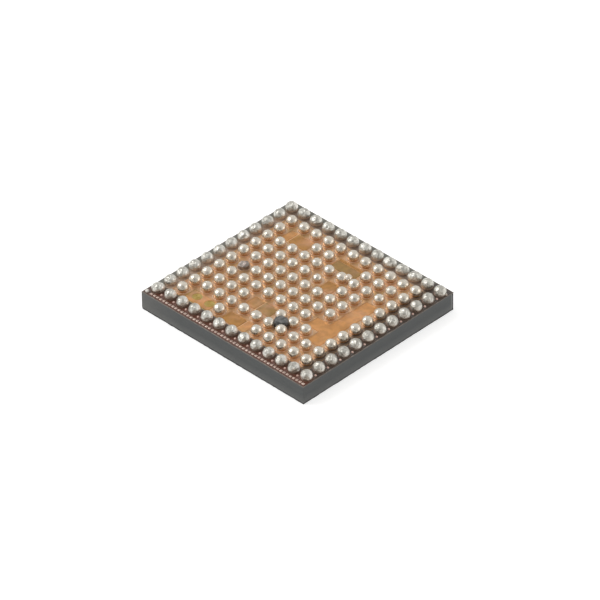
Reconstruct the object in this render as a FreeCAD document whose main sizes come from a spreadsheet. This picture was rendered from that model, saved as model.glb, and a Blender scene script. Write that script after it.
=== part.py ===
import FreeCAD, Part
import math
import os

import Sketcher

# Intermediate frequency chip: a bare wafer-level die with solder balls on its face.
# It lies on its back, so +Z is the side with the balls. The origin is the centre of the back.
# Rows A to N follow one another along +X, and columns 1 to 12 along +Y. The borders round the
# grid differ, so its middle stands a little off the die's. Lengths are millimetres.

os.makedirs("parts", exist_ok=True)
doc = FreeCAD.newDocument("chip")

# Driving dimensions

SIZES = {
    # ball grid
    "pitch": 0.4,
    "ball_allowance": 0.048,  # radius of a ball above a quarter of the pitch
    "ball_lift": 0.06,  # height of a ball's centre above its pad
    "pad_rim": 0.02,  # how far a pad shows round the foot of its ball
    "pad_gap": 0.016,  # bare ring between a pad and the copper plane
    # layers, from the back up
    "film_thickness": 0.04,
    "silicon_thickness": 0.442,
    "circuit_thickness": 0.01,
    "polyimide_thickness": 0.008,
    "copper_thickness": 0.01,
    # borders of the face
    "left_border": 0.0947,  # from the pads of row A to the edge of the die
    "right_border": 0.0317,  # from the pads of row N to the edge of the die
    "front_border": 0.0524,  # from the edge pads to the edge of the die
    "back_border": 0.1127,  # from the pads of column 12 to the edge of the die
    "street_width": 0.024,  # bare rim of the circuit layer round the polyimide
    "ring_setback": 0.006,
    "ring_width": 0.012,
    "ring_height": 0.004,
    # edge pads and dots
    "edge_pad_gap": 0.0173,  # from the pads of column 1 to the edge pads
    "edge_pad_length": 0.075,
    "edge_pad_width": 0.062,
    "edge_pad_height": 0.016,
    "dot_radius": 0.03,
    "dot_offset": 0.088,  # from the line of the outer balls outwards
    "corner_bump_radius": 0.026,
    # copper islands
    "island_gap": 0.018,  # bare line between an island and what lies beside it
    "island_corner": 0.03,
    "band_width": 0.06,
    # splits of islands, from the left side of the window
    "c10_split": 0.22,
    "f4_split": 0.34,
    "f2_split": 0.54,
    # spiral coils
    "coil_track": 0.014,
    "coil_space": 0.012,
    "coil_eye": 0.017,  # radius of the first half turn
    "coil_clearance": 0.012,
    "coil_border": 0.014,  # copper between a coil's window and the side of the island
    "coil_shift": 0.04,  # how far a coil stands off its place in the grid, both ways
    # what happened to this chip
    "narrow_ball_loss": 0.03,  # how much less its radius is
    "damaged_spread": 0.002,  # how far the damaged ball is pressed out past a whole one
    "damaged_lift": 0.045,
    "damaged_crown": 0.072,  # from its middle up to the flat that it was pressed to
    "lump_lean": 0.047,  # how far the lump leans over the balls beside it
    "lump_half_height": 0.105,
    "lump_lift": 0.079,
    "lump_clearance": 0.004,
}

sheet = doc.addObject("Spreadsheet::Sheet", "Sizes")
for line, (alias, value) in enumerate(SIZES.items(), start=1):
    sheet.set(f"A{line}", alias)
    sheet.set(f"B{line}", str(value))
    sheet.setAlias(f"B{line}", alias)
doc.recompute()

# The grid: counts, row letters and what stands where

ROW_LETTERS = "abcdefghjklmn"
ROW_COUNT = len(ROW_LETTERS)
COLUMN_COUNT = 12
MIDDLE_ROW = (ROW_COUNT - 1) / 2
MIDDLE_COLUMN = (COLUMN_COUNT - 1) / 2

# Places without a ball, as row and column counted from 0
ABSENT = {
    (2, 1), (3, 1), (5, 1), (6, 1),
    (5, 3), (6, 3),
    (2, 9), (3, 9), (6, 9), (7, 9),
    (7, 7), (9, 4),
    (10, 3), (10, 4), (10, 5), (10, 6), (10, 7),
}
DAMAGED = (2, 5)
NARROW = (6, 7)
LUMP_CELL = (7.5, 2.5)
EDGE_PADS_PER_PITCH = 4
EDGE_PAD_COUNT = EDGE_PADS_PER_PITCH * (ROW_COUNT - 1) + 2
COIL_PLACES = {"coil_c2": (2, 1), "coil_d2": (3, 1)}

# Lengths that follow from the driving dimensions, as expressions

BALL_RADIUS = "(Sizes.pitch / 4 + Sizes.ball_allowance)"
NARROW_BALL_RADIUS = f"({BALL_RADIUS} - Sizes.narrow_ball_loss)"
PAD_RADIUS = f"(sqrt({BALL_RADIUS} ^ 2 - Sizes.ball_lift ^ 2) + Sizes.pad_rim)"
PADS_LENGTH = f"({ROW_COUNT - 1} * Sizes.pitch + 2 * {PAD_RADIUS})"
PADS_WIDTH = f"({COLUMN_COUNT - 1} * Sizes.pitch + 2 * {PAD_RADIUS})"
FRONT_MARGIN = "(Sizes.edge_pad_gap + Sizes.edge_pad_length + Sizes.front_border)"
DIE_LENGTH = f"({PADS_LENGTH} + Sizes.left_border + Sizes.right_border)"
DIE_WIDTH = f"({PADS_WIDTH} + {FRONT_MARGIN} + Sizes.back_border)"
GRID_SHIFT_X = "(Sizes.left_border - Sizes.right_border) / 2"
GRID_SHIFT_Y = f"({FRONT_MARGIN} - Sizes.back_border) / 2"
SILICON_FOOT = "Sizes.film_thickness"
CIRCUIT_FOOT = f"({SILICON_FOOT} + Sizes.silicon_thickness)"
POLYIMIDE_FOOT = f"({CIRCUIT_FOOT} + Sizes.circuit_thickness)"
COPPER_FOOT = f"({POLYIMIDE_FOOT} + Sizes.polyimide_thickness)"
COPPER_TOP = f"({COPPER_FOOT} + Sizes.copper_thickness)"
DAMAGED_RADIUS = f"({BALL_RADIUS} + Sizes.damaged_spread)"
LUMP_RADIUS = f"(Sizes.pitch / sqrt(2) - {BALL_RADIUS} + Sizes.lump_lean)"

pieces = []


def row_x(row):
    """Expression for the place of a row, or of a point between rows, along X."""
    return f"({row - MIDDLE_ROW} * Sizes.pitch + {GRID_SHIFT_X})"


def column_y(column):
    """Expression for the place of a column, or of a point between columns, along Y."""
    return f"({column - MIDDLE_COLUMN} * Sizes.pitch + {GRID_SHIFT_Y})"


def place(item, x, y, z):
    """Binds an object's position to three expressions."""
    for axis, expression in zip("xyz", (x, y, z)):
        item.setExpression(f"Placement.Base.{axis}", expression)


def keep(item, label):
    """Labels an object as a finished piece of the chip."""
    item.Label = label
    pieces.append(item)
    return item


# Building blocks made from sketches


def sketch_at(body, name, x, y, z):
    """A sketch parallel to the face of the chip, with its own zero at a bound point."""
    sketch = body.newObject("Sketcher::SketchObject", name)
    planes = body.Origin.OriginFeatures
    sketch.AttachmentSupport = (next(p for p in planes if p.Role == "XY_Plane"), "")
    sketch.MapMode = "FlatFace"
    for axis, expression in zip("xyz", (x, y, z)):
        sketch.setExpression(f"AttachmentOffset.Base.{axis}", expression)
    return sketch


def draw_rectangle(sketch, length, width, tag="outer", x=None, y=None):
    """A rectangle from the sketch's zero, or set in from it by x and y, with bound sides."""
    start = sketch.GeometryCount
    corners = [FreeCAD.Vector(*c, 0) for c in ((0.1, 0.1), (1, 0.1), (1, 1), (0.1, 1))]
    for one, other in zip(corners, corners[1:] + corners[:1]):
        sketch.addGeometry(Part.LineSegment(one, other))
    bottom, right, top, left = range(start, start + 4)
    for one, other in ((bottom, right), (right, top), (top, left), (left, bottom)):
        sketch.addConstraint(Sketcher.Constraint("Coincident", one, 2, other, 1))
    for side, way in ((bottom, "Horizontal"), (top, "Horizontal"), (right, "Vertical"), (left, "Vertical")):
        sketch.addConstraint(Sketcher.Constraint(way, side))
    bind(sketch, Sketcher.Constraint("DistanceX", bottom, 1, bottom, 2, 1), f"{tag}_length", length)
    bind(sketch, Sketcher.Constraint("DistanceY", right, 1, right, 2, 1), f"{tag}_width", width)
    if x is None:
        sketch.addConstraint(Sketcher.Constraint("Coincident", bottom, 1, -1, 1))
    else:
        bind(sketch, Sketcher.Constraint("DistanceX", -1, 1, bottom, 1, 0.1), f"{tag}_x", x)
        bind(sketch, Sketcher.Constraint("DistanceY", -1, 1, bottom, 1, 0.1), f"{tag}_y", y)


def draw_circle(sketch, radius, tag):
    """A circle round the sketch's zero with a bound radius."""
    circle = sketch.addGeometry(Part.Circle(FreeCAD.Vector(), FreeCAD.Vector(0, 0, 1), 0.1))
    sketch.addConstraint(Sketcher.Constraint("Coincident", circle, 3, -1, 1))
    bind(sketch, Sketcher.Constraint("Radius", circle, 0.1), f"{tag}_radius", radius)


def bind(sketch, constraint, name, expression):
    """Adds a constraint to a sketch and ties its value to an expression."""
    index = sketch.addConstraint(constraint)
    sketch.renameConstraint(index, name)
    sketch.setExpression(f"Constraints.{name}", expression)


def padded(body, sketch, thickness):
    """The sketch raised by a bound thickness."""
    pad = body.newObject("PartDesign::Pad", f"{sketch.Name}_pad")
    pad.Profile = sketch
    pad.setExpression("Length", thickness)
    doc.recompute()
    return pad


def pocketed(body, sketch, depth):
    """The sketch cut down into the body, checked to take material away."""
    before = body.Shape.Volume
    pocket = body.newObject("PartDesign::Pocket", f"{sketch.Name}_pocket")
    pocket.Profile = sketch
    pocket.setExpression("Length", depth)
    doc.recompute()
    if body.Shape.Volume >= before:
        raise RuntimeError(f"{sketch.Name} takes nothing away")
    return pocket


def slab(label, x, y, z, length, width, thickness):
    """A flat rectangular layer with one corner at x, y and its underside at z."""
    body = keep(doc.addObject("PartDesign::Body", label), label)
    sketch = sketch_at(body, f"{label}_outline", x, y, z)
    draw_rectangle(sketch, length, width)
    padded(body, sketch, thickness)
    return body


def centred_slab(label, z, length, width, thickness):
    """A flat rectangular layer centred on the chip."""
    return slab(label, f"-{length} / 2", f"-{width} / 2", z, length, width, thickness)


def round_corners(body, radius):
    """Rounds the upright edges of a layer."""
    solid = body.Tip
    upright = []
    for number, edge in enumerate(solid.Shape.Edges, start=1):
        if abs(edge.tangentAt(edge.FirstParameter).z) > 0.5:
            upright.append(f"Edge{number}")
    fillet = body.newObject("PartDesign::Fillet", f"{body.Name}_corners")
    fillet.Base = (solid, upright)
    fillet.setExpression("Radius", radius)
    doc.recompute()


# Layers of the die


def make_layers():
    """The film on the back, the silicon, the circuit layer and the base polyimide."""
    face_length = f"({DIE_LENGTH} - 2 * Sizes.street_width)"
    face_width = f"({DIE_WIDTH} - 2 * Sizes.street_width)"
    centred_slab("back_film", "0", DIE_LENGTH, DIE_WIDTH, "Sizes.film_thickness")
    centred_slab("silicon_die", SILICON_FOOT, DIE_LENGTH, DIE_WIDTH, "Sizes.silicon_thickness")
    centred_slab("circuit_layer", CIRCUIT_FOOT, DIE_LENGTH, DIE_WIDTH, "Sizes.circuit_thickness")
    centred_slab(
        "base_polyimide", POLYIMIDE_FOOT, face_length, face_width, "Sizes.polyimide_thickness"
    )


def make_seal_ring():
    """The metal ring round the circuit, in the bare street outside the polyimide."""
    length = f"({DIE_LENGTH} - 2 * Sizes.ring_setback)"
    width = f"({DIE_WIDTH} - 2 * Sizes.ring_setback)"
    body = keep(doc.addObject("PartDesign::Body", "seal_ring"), "seal_ring")
    sketch = sketch_at(
        body, "seal_ring_outline", f"-{length} / 2", f"-{width} / 2", POLYIMIDE_FOOT
    )
    draw_rectangle(sketch, length, width)
    draw_rectangle(
        sketch,
        f"{length} - 2 * Sizes.ring_width",
        f"{width} - 2 * Sizes.ring_width",
        "inner",
        "Sizes.ring_width",
        "Sizes.ring_width",
    )
    padded(body, sketch, "Sizes.ring_height")


# Copper on the face

# Windows in the copper plane: first and last row, first and last column, as half places
WINDOWS = {
    "c10": (1.5, 3.5, 8.5, 9.5),
    "g10": (5.5, 7.5, 8.5, 9.5),
    "h8": (6.5, 7.5, 6.5, 7.5),
    "l4": (9.5, 10.5, 2.5, 7.5),
    "k5": (8.5, 9.5, 3.5, 4.5),
    "f4": (4.5, 6.5, 2.5, 3.5),
    "c2": (1.5, 3.5, 0.5, 1.5),
    "f2": (4.5, 6.5, 0.5, 1.5),
}


def make_copper_plane():
    """The ground plane under the inner balls, with a hole for each pad and the windows."""
    first_row, last_row = 0.5, ROW_COUNT - 1.5
    first_column, last_column = 0.5, COLUMN_COUNT - 1.5
    body = slab(
        "copper_plane",
        row_x(first_row),
        column_y(first_column),
        COPPER_FOOT,
        f"{last_row - first_row} * Sizes.pitch",
        f"{last_column - first_column} * Sizes.pitch",
        "Sizes.copper_thickness",
    )
    for name, (row_0, row_1, column_0, column_1) in WINDOWS.items():
        sketch = sketch_at(body, f"window_{name}", row_x(row_0), column_y(column_0), COPPER_TOP)
        draw_rectangle(
            sketch, f"{row_1 - row_0} * Sizes.pitch", f"{column_1 - column_0} * Sizes.pitch"
        )
        pocketed(body, sketch, "Sizes.copper_thickness")
    opening = sketch_at(body, "pad_opening", row_x(1), column_y(1), COPPER_TOP)
    draw_circle(opening, f"{PAD_RADIUS} + Sizes.pad_gap", "opening")
    first_opening = pocketed(body, opening, "Sizes.copper_thickness")
    before = body.Shape.Volume
    openings = body.newObject("PartDesign::MultiTransform", "pad_openings")
    openings.Originals = [first_opening]
    steps = []
    for role, count in (("X_Axis", ROW_COUNT - 2), ("Y_Axis", COLUMN_COUNT - 2)):
        step = body.newObject("PartDesign::LinearPattern", f"pad_openings_{role}")
        axis = next(a for a in body.Origin.OriginFeatures if a.Role == role)
        step.Direction = (axis, [""])
        step.setExpression("Length", f"{count - 1} * Sizes.pitch")
        step.Occurrences = count
        steps.append(step)
    openings.Transformations = steps
    body.Tip = openings
    doc.recompute()
    if body.Shape.Volume >= before:
        raise RuntimeError("the pad openings take nothing away")


def island(label, window, left="0", right=None):
    """A copper island in a window, from left to right, which count from the window's left side."""
    row_0, row_1, column_0, column_1 = WINDOWS[window]
    right = right or f"{row_1 - row_0} * Sizes.pitch"
    return slab(
        label,
        f"{row_x(row_0)} + {left} + Sizes.island_gap",
        f"{column_y(column_0)} + Sizes.island_gap",
        COPPER_FOOT,
        f"({right} - {left} - 2 * Sizes.island_gap)",
        f"({column_1 - column_0} * Sizes.pitch - 2 * Sizes.island_gap)",
        "Sizes.copper_thickness",
    )


def make_split_island(window, split):
    """Two islands that share a window, with a bare line between them."""
    round_corners(island(f"island_{window}_left", window, right=split), "Sizes.island_corner")
    round_corners(island(f"island_{window}_right", window, left=split), "Sizes.island_corner")


def make_islands():
    """The islands of copper in the windows, where no ball stands."""
    make_split_island("c10", "Sizes.c10_split")
    make_split_island("f4", "Sizes.f4_split")
    make_split_island("f2", "Sizes.f2_split")
    round_corners(island("island_h8", "h8"), "Sizes.island_corner")
    make_island_with_band()
    make_island_strip()
    make_island_with_coils()


def make_island_with_band():
    """The island at G10 and H10, and the narrow band of copper along its far side."""
    row_0, row_1, column_0, column_1 = WINDOWS["g10"]
    length = f"({row_1 - row_0} * Sizes.pitch - 2 * Sizes.island_gap)"
    corner = f"{row_x(row_0)} + Sizes.island_gap"
    width = (
        f"({column_1 - column_0} * Sizes.pitch - 3 * Sizes.island_gap - Sizes.band_width)"
    )
    body = slab(
        "island_g10",
        corner,
        f"{column_y(column_0)} + Sizes.island_gap",
        COPPER_FOOT,
        length,
        width,
        "Sizes.copper_thickness",
    )
    round_corners(body, "Sizes.island_corner")
    slab(
        "island_g10_band",
        corner,
        f"{column_y(column_1)} - Sizes.island_gap - Sizes.band_width",
        COPPER_FOOT,
        length,
        "Sizes.band_width",
        "Sizes.copper_thickness",
    )


def make_island_strip():
    """The long island from L4 to L8, with its branch to K5."""
    body = island("island_l4_strip", "l4")
    row_0, row_1, column_0, column_1 = WINDOWS["k5"]
    branch = sketch_at(
        body,
        "branch_k5",
        f"{row_x(row_0)} + Sizes.island_gap",
        f"{column_y(column_0)} + Sizes.island_gap",
        COPPER_FOOT,
    )
    # The branch reaches past the window's side, into the strip
    draw_rectangle(
        branch,
        f"{row_1 - row_0} * Sizes.pitch + Sizes.island_gap",
        f"{column_1 - column_0} * Sizes.pitch - 2 * Sizes.island_gap",
    )
    padded(body, branch, "Sizes.copper_thickness")
    round_corners(body, "Sizes.island_corner")


def coil_centre(coil):
    """Expressions for the place of a coil."""
    row, column = COIL_PLACES[coil]
    return f"{row_x(row)} + Sizes.coil_shift", f"{column_y(column)} + Sizes.coil_shift"


def make_island_with_coils():
    """The island at C2 and D2, with a round window for each of its two coils."""
    radius = "Sizes.pitch / 2 - Sizes.coil_shift - Sizes.island_gap - Sizes.coil_border"
    body = island("island_c2", "c2")
    round_corners(body, "Sizes.island_corner")
    for coil in COIL_PLACES:
        sketch = sketch_at(body, f"{coil}_window", *coil_centre(coil), COPPER_TOP)
        draw_circle(sketch, radius, "window")
        pocketed(body, sketch, "Sizes.copper_thickness")


def coil_shape():
    """A flat spiral of half circles round two centres, with as many half turns as fit its window."""
    step = (sheet.coil_track + sheet.coil_space) / 2
    half_track = sheet.coil_track / 2
    window_radius = sheet.pitch / 2 - sheet.coil_shift - sheet.island_gap - sheet.coil_border
    room = window_radius - sheet.coil_clearance - half_track - sheet.coil_eye
    half_turns = int(room / step) + 1
    last_centre = step * ((half_turns - 1) % 2)
    sides = {}
    for side in (-half_track, half_track):
        arcs = []
        for turn in range(half_turns):
            centre = FreeCAD.Vector(step * (turn % 2) - last_centre, 0, 0)
            radius = sheet.coil_eye + turn * step + side
            start = math.pi * (turn % 2)
            circle = Part.Circle(centre, FreeCAD.Vector(0, 0, 1), radius)
            arcs.append(Part.ArcOfCircle(circle, start, start + math.pi).toShape())
        sides[side] = arcs
    inner, outer = sides[-half_track], sides[half_track]
    ends = [
        Part.LineSegment(inner[0].Vertexes[0].Point, outer[0].Vertexes[0].Point).toShape(),
        Part.LineSegment(inner[-1].Vertexes[-1].Point, outer[-1].Vertexes[-1].Point).toShape(),
    ]
    face = Part.Face(Part.Wire(Part.__sortEdges__(inner + outer + ends)))
    return face.extrude(FreeCAD.Vector(0, 0, sheet.copper_thickness))


def make_coils():
    """The two spiral coils in their round windows."""
    for label in COIL_PLACES:
        coil = keep(doc.addObject("Part::Feature", label), label)
        coil.Shape = coil_shape()
        place(coil, *coil_centre(label), COPPER_FOOT)


# Pads and balls


def grouped(items, label):
    """Separate solids of one kind as one piece."""
    group = keep(doc.addObject("Part::Compound", label), label)
    group.Links = items
    return group


def make_pad(row, column):
    """The round pad under one ball."""
    pad = doc.addObject("Part::Cylinder", f"pad_{row}_{column}")
    pad.setExpression("Radius", PAD_RADIUS)
    pad.setExpression("Height", "Sizes.copper_thickness")
    place(pad, row_x(row), column_y(column), COPPER_FOOT)
    return pad


def make_ball(row, column, radius, clearance="0"):
    """One solder ball: a sphere with a flat foot, wetted to its pad."""
    ball = doc.addObject("Part::Sphere", f"ball_{row}_{column}")
    ball.setExpression("Radius", f"{radius} + {clearance}")
    ball.setExpression("Angle1", f"-asin(Sizes.ball_lift / ({radius} + {clearance}))")
    place(ball, row_x(row), column_y(column), f"{COPPER_TOP} + Sizes.ball_lift")
    return ball


def make_grid():
    """Pads and balls, row by row, where balls stand."""
    for row, letter in enumerate(ROW_LETTERS):
        columns = [c for c in range(COLUMN_COUNT) if (row, c) not in ABSENT]
        grouped([make_pad(row, c) for c in columns], f"pads_row_{letter}")
        balls = []
        for column in columns:
            if (row, column) == NARROW:
                balls.append(make_ball(row, column, NARROW_BALL_RADIUS))
            elif (row, column) != DAMAGED:
                balls.append(make_ball(row, column, BALL_RADIUS))
        grouped(balls, f"solder_row_{letter}")


def make_damaged_ball():
    """The ball at C6, pressed wide and flat."""
    ball = keep(doc.addObject("Part::Sphere", "damaged_ball"), "damaged_ball_c6")
    ball.setExpression("Radius", DAMAGED_RADIUS)
    ball.setExpression("Angle1", f"-asin(Sizes.damaged_lift / {DAMAGED_RADIUS})")
    ball.setExpression("Angle2", f"asin(Sizes.damaged_crown / {DAMAGED_RADIUS})")
    row, column = DAMAGED
    place(ball, row_x(row), column_y(column), f"{COPPER_TOP} + Sizes.damaged_lift")


def make_resin_lump():
    """The lump of dark resin that fills the space between four balls."""
    row, column = LUMP_CELL
    lump = doc.addObject("Part::Ellipsoid", "lump")
    lump.setExpression("Radius1", "Sizes.lump_half_height")
    lump.setExpression("Radius2", LUMP_RADIUS)
    lump.setExpression("Angle1", "-asin(Sizes.lump_lift / Sizes.lump_half_height)")
    place(lump, row_x(row), column_y(column), f"{COPPER_TOP} + Sizes.lump_lift")
    neighbours = []
    for side_row in (row - 0.5, row + 0.5):
        for side_column in (column - 0.5, column + 0.5):
            neighbours.append(
                make_ball(int(side_row), int(side_column), BALL_RADIUS, "Sizes.lump_clearance")
            )
    room = doc.addObject("Part::Compound", "lump_neighbours")
    room.Links = neighbours
    cut = keep(doc.addObject("Part::Cut", "resin_lump"), "resin_lump")
    cut.Base = lump
    cut.Tool = room


# Small pads along the edges


def make_edge_pads():
    """The row of small pads along the front edge, four to a ball pitch."""
    pads = []
    for number in range(EDGE_PAD_COUNT):
        pad = doc.addObject("Part::Box", f"edge_pad_{number}")
        pad.setExpression("Length", "Sizes.edge_pad_width")
        pad.setExpression("Width", "Sizes.edge_pad_length")
        pad.setExpression("Height", "Sizes.edge_pad_height")
        x = f"{row_x(number / EDGE_PADS_PER_PITCH)} - Sizes.edge_pad_width / 2"
        place(pad, x, f"-({DIE_WIDTH} / 2 - Sizes.front_border)", COPPER_FOOT)
        pads.append(pad)
    grouped(pads, "edge_pads")


def make_dot(name, x, y, radius="Sizes.dot_radius"):
    """One small round bump on the polyimide, half a sphere."""
    dot = doc.addObject("Part::Sphere", name)
    dot.setExpression("Radius", radius)
    dot.Angle1 = 0
    place(dot, x, y, COPPER_FOOT)
    return dot


def make_edge_dots():
    """The dots between the outer balls, along the front and the right side."""
    front = []
    for gap in range(ROW_COUNT - 1):
        y = f"{column_y(0)} - Sizes.dot_offset"
        front.append(make_dot(f"front_dot_{gap}", row_x(gap + 0.5), y))
    right = []
    for gap in range(COLUMN_COUNT - 1):
        x = f"{row_x(ROW_COUNT - 1)} + Sizes.dot_offset"
        right.append(make_dot(f"right_dot_{gap}", x, column_y(gap + 0.5)))
    grouped(front, "edge_dots_front")
    grouped(right, "edge_dots_right")


def make_corner_bump():
    """The small bump at the left corner of the polyimide."""
    radius = "Sizes.corner_bump_radius"
    x = f"-({DIE_LENGTH} / 2 - Sizes.street_width - {radius})"
    y = f"-({DIE_WIDTH} / 2 - Sizes.street_width - {radius})"
    keep(make_dot("bump", x, y, radius), "corner_bump")


make_layers()
make_seal_ring()
make_copper_plane()
make_islands()
make_coils()
make_grid()
make_damaged_ball()
make_resin_lump()
make_edge_pads()
make_edge_dots()
make_corner_bump()
doc.recompute()

# Checks, then one file for each piece

for item in doc.Objects:
    if "Invalid" in item.State or "Error" in item.State:
        raise RuntimeError(f"{item.Name} failed: {item.State}")
for piece in pieces:
    if piece.Shape.isNull() or not piece.Shape.isValid() or not piece.Shape.Solids:
        raise RuntimeError(f"{piece.Label} has no sound shape")
for piece in pieces:
    piece.Shape.exportStep(f"parts/{piece.Label}.step")
print(f"{len(pieces)} pieces written")
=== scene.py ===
import math

import bmesh
import bpy
from mathutils import Matrix, Vector


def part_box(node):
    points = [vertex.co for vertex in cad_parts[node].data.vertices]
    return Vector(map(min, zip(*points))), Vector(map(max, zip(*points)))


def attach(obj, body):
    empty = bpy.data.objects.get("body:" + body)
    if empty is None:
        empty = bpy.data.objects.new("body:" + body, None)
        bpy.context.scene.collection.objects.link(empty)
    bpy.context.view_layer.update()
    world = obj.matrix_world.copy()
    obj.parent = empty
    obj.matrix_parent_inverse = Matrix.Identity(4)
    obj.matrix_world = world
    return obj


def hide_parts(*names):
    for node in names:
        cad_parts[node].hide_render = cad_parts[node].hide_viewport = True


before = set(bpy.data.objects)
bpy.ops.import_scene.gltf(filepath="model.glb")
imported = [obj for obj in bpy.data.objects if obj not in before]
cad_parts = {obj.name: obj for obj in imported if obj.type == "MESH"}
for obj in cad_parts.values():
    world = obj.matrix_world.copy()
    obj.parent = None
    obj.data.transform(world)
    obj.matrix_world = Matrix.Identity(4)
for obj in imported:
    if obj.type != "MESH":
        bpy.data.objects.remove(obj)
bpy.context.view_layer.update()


# The die: a block of single crystal silicon, sawn out of a finished wafer.
# Its sides keep the dull dark grey of the saw cut, with faint marks of the blade,
# and the last corner that the blade reached has broken away a little. The break is painted: a
# pale band of painted highlight along its rim, and painted shade inside.
die_low, die_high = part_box("silicon_die")
HALF_LENGTH, HALF_WIDTH = die_high.x, die_high.y
SILICON_FOOT, SILICON_TOP = die_low.z, die_high.z
SAWN_GREY = (0.058, 0.0625, 0.0615, 1)
DUSTY_GREY = (0.089, 0.0935, 0.091, 1)
BLADE_GREY = (0.055, 0.061, 0.063, 1)
FOOT_PALE = (0.158, 0.158, 0.152, 1)
LEFT_END_PALE = (0.165, 0.16, 0.15, 1)
BROKEN_RIM_HIGHLIGHT = (0.26, 0.26, 0.245, 1)
BROKEN_SHADE = (0.035, 0.037, 0.037, 1)
BROKEN_FROM = 0.002415
BROKEN_RIM = 0.000018
BROKEN_DEPTH = 0.000012
BROKEN_WIDTH = 0.00005
CORNER_ROUNDING = 0.000004
NEAREST = 1e-7


def open_piece(name):
    """Names the primitive just added, puts its place into its mesh and opens it, none selected."""
    piece = bpy.context.object
    piece.name = piece.data.name = name
    bpy.ops.object.transform_apply(location=True, rotation=True, scale=True)
    bpy.ops.object.mode_set(mode="EDIT")
    bpy.ops.mesh.select_all(action="DESELECT")
    return piece


def open_block(name, low, high):
    """A block between two corners, opened for shaping."""
    bpy.ops.object.select_all(action="DESELECT")
    size = [h - l for l, h in zip(low, high)]
    middle = [(h + l) / 2 for l, h in zip(low, high)]
    bpy.ops.mesh.primitive_cube_add(size=1, location=middle, scale=size)
    return open_piece(name)


def pick(piece, kind, wanted):
    """Selects the vertices, edges or faces that the test says are wanted."""
    bpy.ops.mesh.select_mode(type=kind)
    bpy.ops.mesh.select_all(action="DESELECT")
    mesh = bmesh.from_edit_mesh(piece.data)
    mesh.normal_update()
    for item in {"VERT": mesh.verts, "EDGE": mesh.edges, "FACE": mesh.faces}[kind]:
        item.select_set(bool(wanted(item)))
    mesh.select_flush_mode()
    bmesh.update_edit_mesh(piece.data)


def edge_middle(edge):
    return (edge.verts[0].co + edge.verts[1].co) / 2


def close_piece(piece, finish, angle=35):
    """Closes a shaped piece, smooths its soft edges and gives it its finish."""
    bpy.ops.object.mode_set(mode="OBJECT")
    bpy.ops.object.select_all(action="DESELECT")
    piece.select_set(True)
    bpy.context.view_layer.objects.active = piece
    bpy.ops.object.shade_smooth_by_angle(angle=math.radians(angle))
    piece.data.materials.clear()
    piece.data.materials.append(finish)


def new_finish(name):
    """An empty finish with its shader, to which the section adds colour, grain and gloss."""
    finish = bpy.data.materials.new(name)
    finish.use_nodes = True
    return finish, finish.node_tree, finish.node_tree.nodes["Principled BSDF"]


def add_node(tree, kind, settings=None, **sockets):
    """A node with its settings and sockets filled in, or linked to another node's output."""
    node = tree.nodes.new(kind)
    for key, value in (settings or {}).items():
        setattr(node, key, value)
    for key, value in sockets.items():
        place = node.inputs[int(key[1:]) if key[0] == "_" else key.replace("_", " ")]
        if isinstance(value, bpy.types.NodeSocket):
            tree.links.new(value, place)
        else:
            place.default_value = value
    return node


def on_piece(tree, stretch=(1, 1, 1), turn=(0, 0, 0)):
    """Coordinates fixed to the piece, stretched or turned for a grain with a direction."""
    place = add_node(tree, "ShaderNodeTexCoord").outputs["Object"]
    turned = add_node(tree, "ShaderNodeMapping", Vector=place, Scale=stretch, Rotation=turn)
    return turned.outputs[0]


def share_from(tree, number, start, end):
    """A share that runs from 0 to 1 while a number goes from the start to the end."""
    ramp = add_node(tree, "ShaderNodeMapRange", Value=number, From_Min=start, From_Max=end)
    return ramp.outputs[0]


def grain(tree, scale, low=0.35, high=0.65, detail=3, place=None):
    """A soft random pattern from 0 to 1; the scale is in patches to a metre."""
    place = place or on_piece(tree)
    noise = add_node(
        tree, "ShaderNodeTexNoise", Vector=place, Scale=scale, Detail=detail, Roughness=0.55
    )
    return share_from(tree, noise.outputs["Fac"], low, high)


def mix(tree, share, one, other):
    """One colour where the share is 0 and the other where it is 1."""
    settings = {"data_type": "RGBA"}
    return add_node(tree, "ShaderNodeMix", settings, _0=share, _6=one, _7=other).outputs[2]


def between(tree, share, low, high):
    """A plain number that runs from low to high with the share."""
    return add_node(tree, "ShaderNodeMapRange", Value=share, To_Min=low, To_Max=high).outputs[0]


def over(tree, number, edge, width=0.00003):
    """0 below the edge and 1 above it, with a narrow blend."""
    return share_from(tree, number, edge - width, edge + width)


def arithmetic(tree, operation, one, other=0.0):
    """One step of sums on two numbers."""
    return add_node(tree, "ShaderNodeMath", {"operation": operation}, _0=one, _1=other).outputs[0]


def times(tree, one, other):
    return arithmetic(tree, "MULTIPLY", one, other)


def relief(tree, shader, height, depth, strength=1.0):
    """Raises and sinks the surface by a pattern, depth in metres."""
    bump = add_node(tree, "ShaderNodeBump", Strength=strength, Distance=depth, Height=height)
    tree.links.new(bump.outputs[0], shader.inputs["Normal"])


sawn_silicon, tree, shader = new_finish("sawn_silicon")
blade_marks = grain(tree, 3200, place=on_piece(tree, stretch=(1, 1, 5)))
cloudy = grain(tree, 1900, 0.3, 0.7)
along = add_node(tree, "ShaderNodeSeparateXYZ", Vector=on_piece(tree)).outputs
left_end = share_from(tree, along["X"], -0.0014, -0.0026)
near_foot = share_from(tree, along["Z"], 0.00024, 0.00002)
side_colour = mix(tree, cloudy, SAWN_GREY, DUSTY_GREY)
side_colour = mix(tree, between(tree, blade_marks, 0.0, 0.45), side_colour, BLADE_GREY)
# The sides are lighter towards the foot and towards the left end.
side_colour = mix(tree, between(tree, near_foot, 0.0, 0.75), side_colour, FOOT_PALE)
side_colour = mix(tree, between(tree, left_end, 0.0, 0.5), side_colour, LEFT_END_PALE)
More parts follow.
